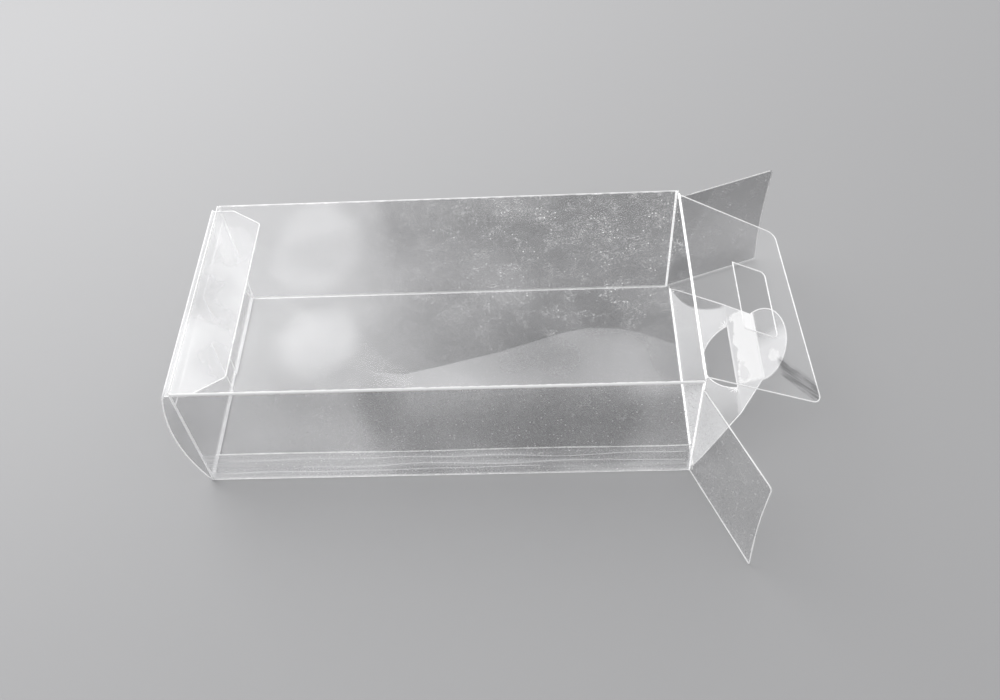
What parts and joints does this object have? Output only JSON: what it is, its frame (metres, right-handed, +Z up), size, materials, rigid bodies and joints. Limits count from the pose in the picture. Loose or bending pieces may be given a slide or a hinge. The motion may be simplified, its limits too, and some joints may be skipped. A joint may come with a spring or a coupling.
{
  "type": "clear plastic folding box",
  "caption": "Long clear film carton lying on a broad side, closed at one end by a bowed tuck lid and open at the other with a slot flap, a handle flap and dust flaps.",
  "frame": {"origin": "middle of the base panel's underside, on the surface that the box lies on", "axes": "+X along the box towards the open end, +Y towards the far side, +Z up"},
  "size_m": [0.2525, 0.16, 0.061],
  "materials": {
    "clear_film": "clear gloss film, lightly scratched"
  },
  "bodies": {
    "sleeve": {"sleeve": "clear_film"},
    "slot_flap": {"slot_flap": "clear_film"},
    "handle_flap": {"handle_flap": "clear_film"},
    "near_dust_flap": {"near_dust_flap": "clear_film"},
    "far_dust_flap": {"far_dust_flap": "clear_film"},
    "end_lid": {"end_lid": "clear_film"},
    "tuck_tab": {"tuck_tab": "clear_film"}
  },
  "joints": [
    {"name": "slot_flap_fold", "type": "hinge", "parent": "sleeve", "child": "slot_flap", "pos_m": [0.0992, 0, 0.06055], "axis": [0, 1, 0], "range_deg": [-117, 63]},
    {"name": "handle_flap_fold", "type": "hinge", "parent": "sleeve", "child": "handle_flap", "pos_m": [0.1, 0, 0.00045], "axis": [0, -1, 0], "range_deg": [-24.5, 55.5]},
    {"name": "near_dust_fold", "type": "hinge", "parent": "sleeve", "child": "near_dust_flap", "pos_m": [0.0984, -0.05055, 0.0283], "axis": [0, 0, 1], "range_deg": [-28, 67]},
    {"name": "far_dust_fold", "type": "hinge", "parent": "sleeve", "child": "far_dust_flap", "pos_m": [0.0984, 0.05055, 0.0283], "axis": [0, 0, -1], "range_deg": [-75, 20]},
    {"name": "end_lid_fold", "type": "hinge", "parent": "sleeve", "child": "end_lid", "pos_m": [-0.1, 0, 0.00045], "axis": [0, -1, 0], "range_deg": [0, 65]},
    {"name": "tuck_tab_fold", "type": "hinge", "parent": "end_lid", "child": "tuck_tab", "pos_m": [-0.1025, 0, 0.0584], "axis": [0, -1, 0], "range_deg": [-52, 0]}
  ],
  "couplings": [
    {"joint": "tuck_tab_fold", "follows": "end_lid_fold", "ratio": -0.8}
  ]
}
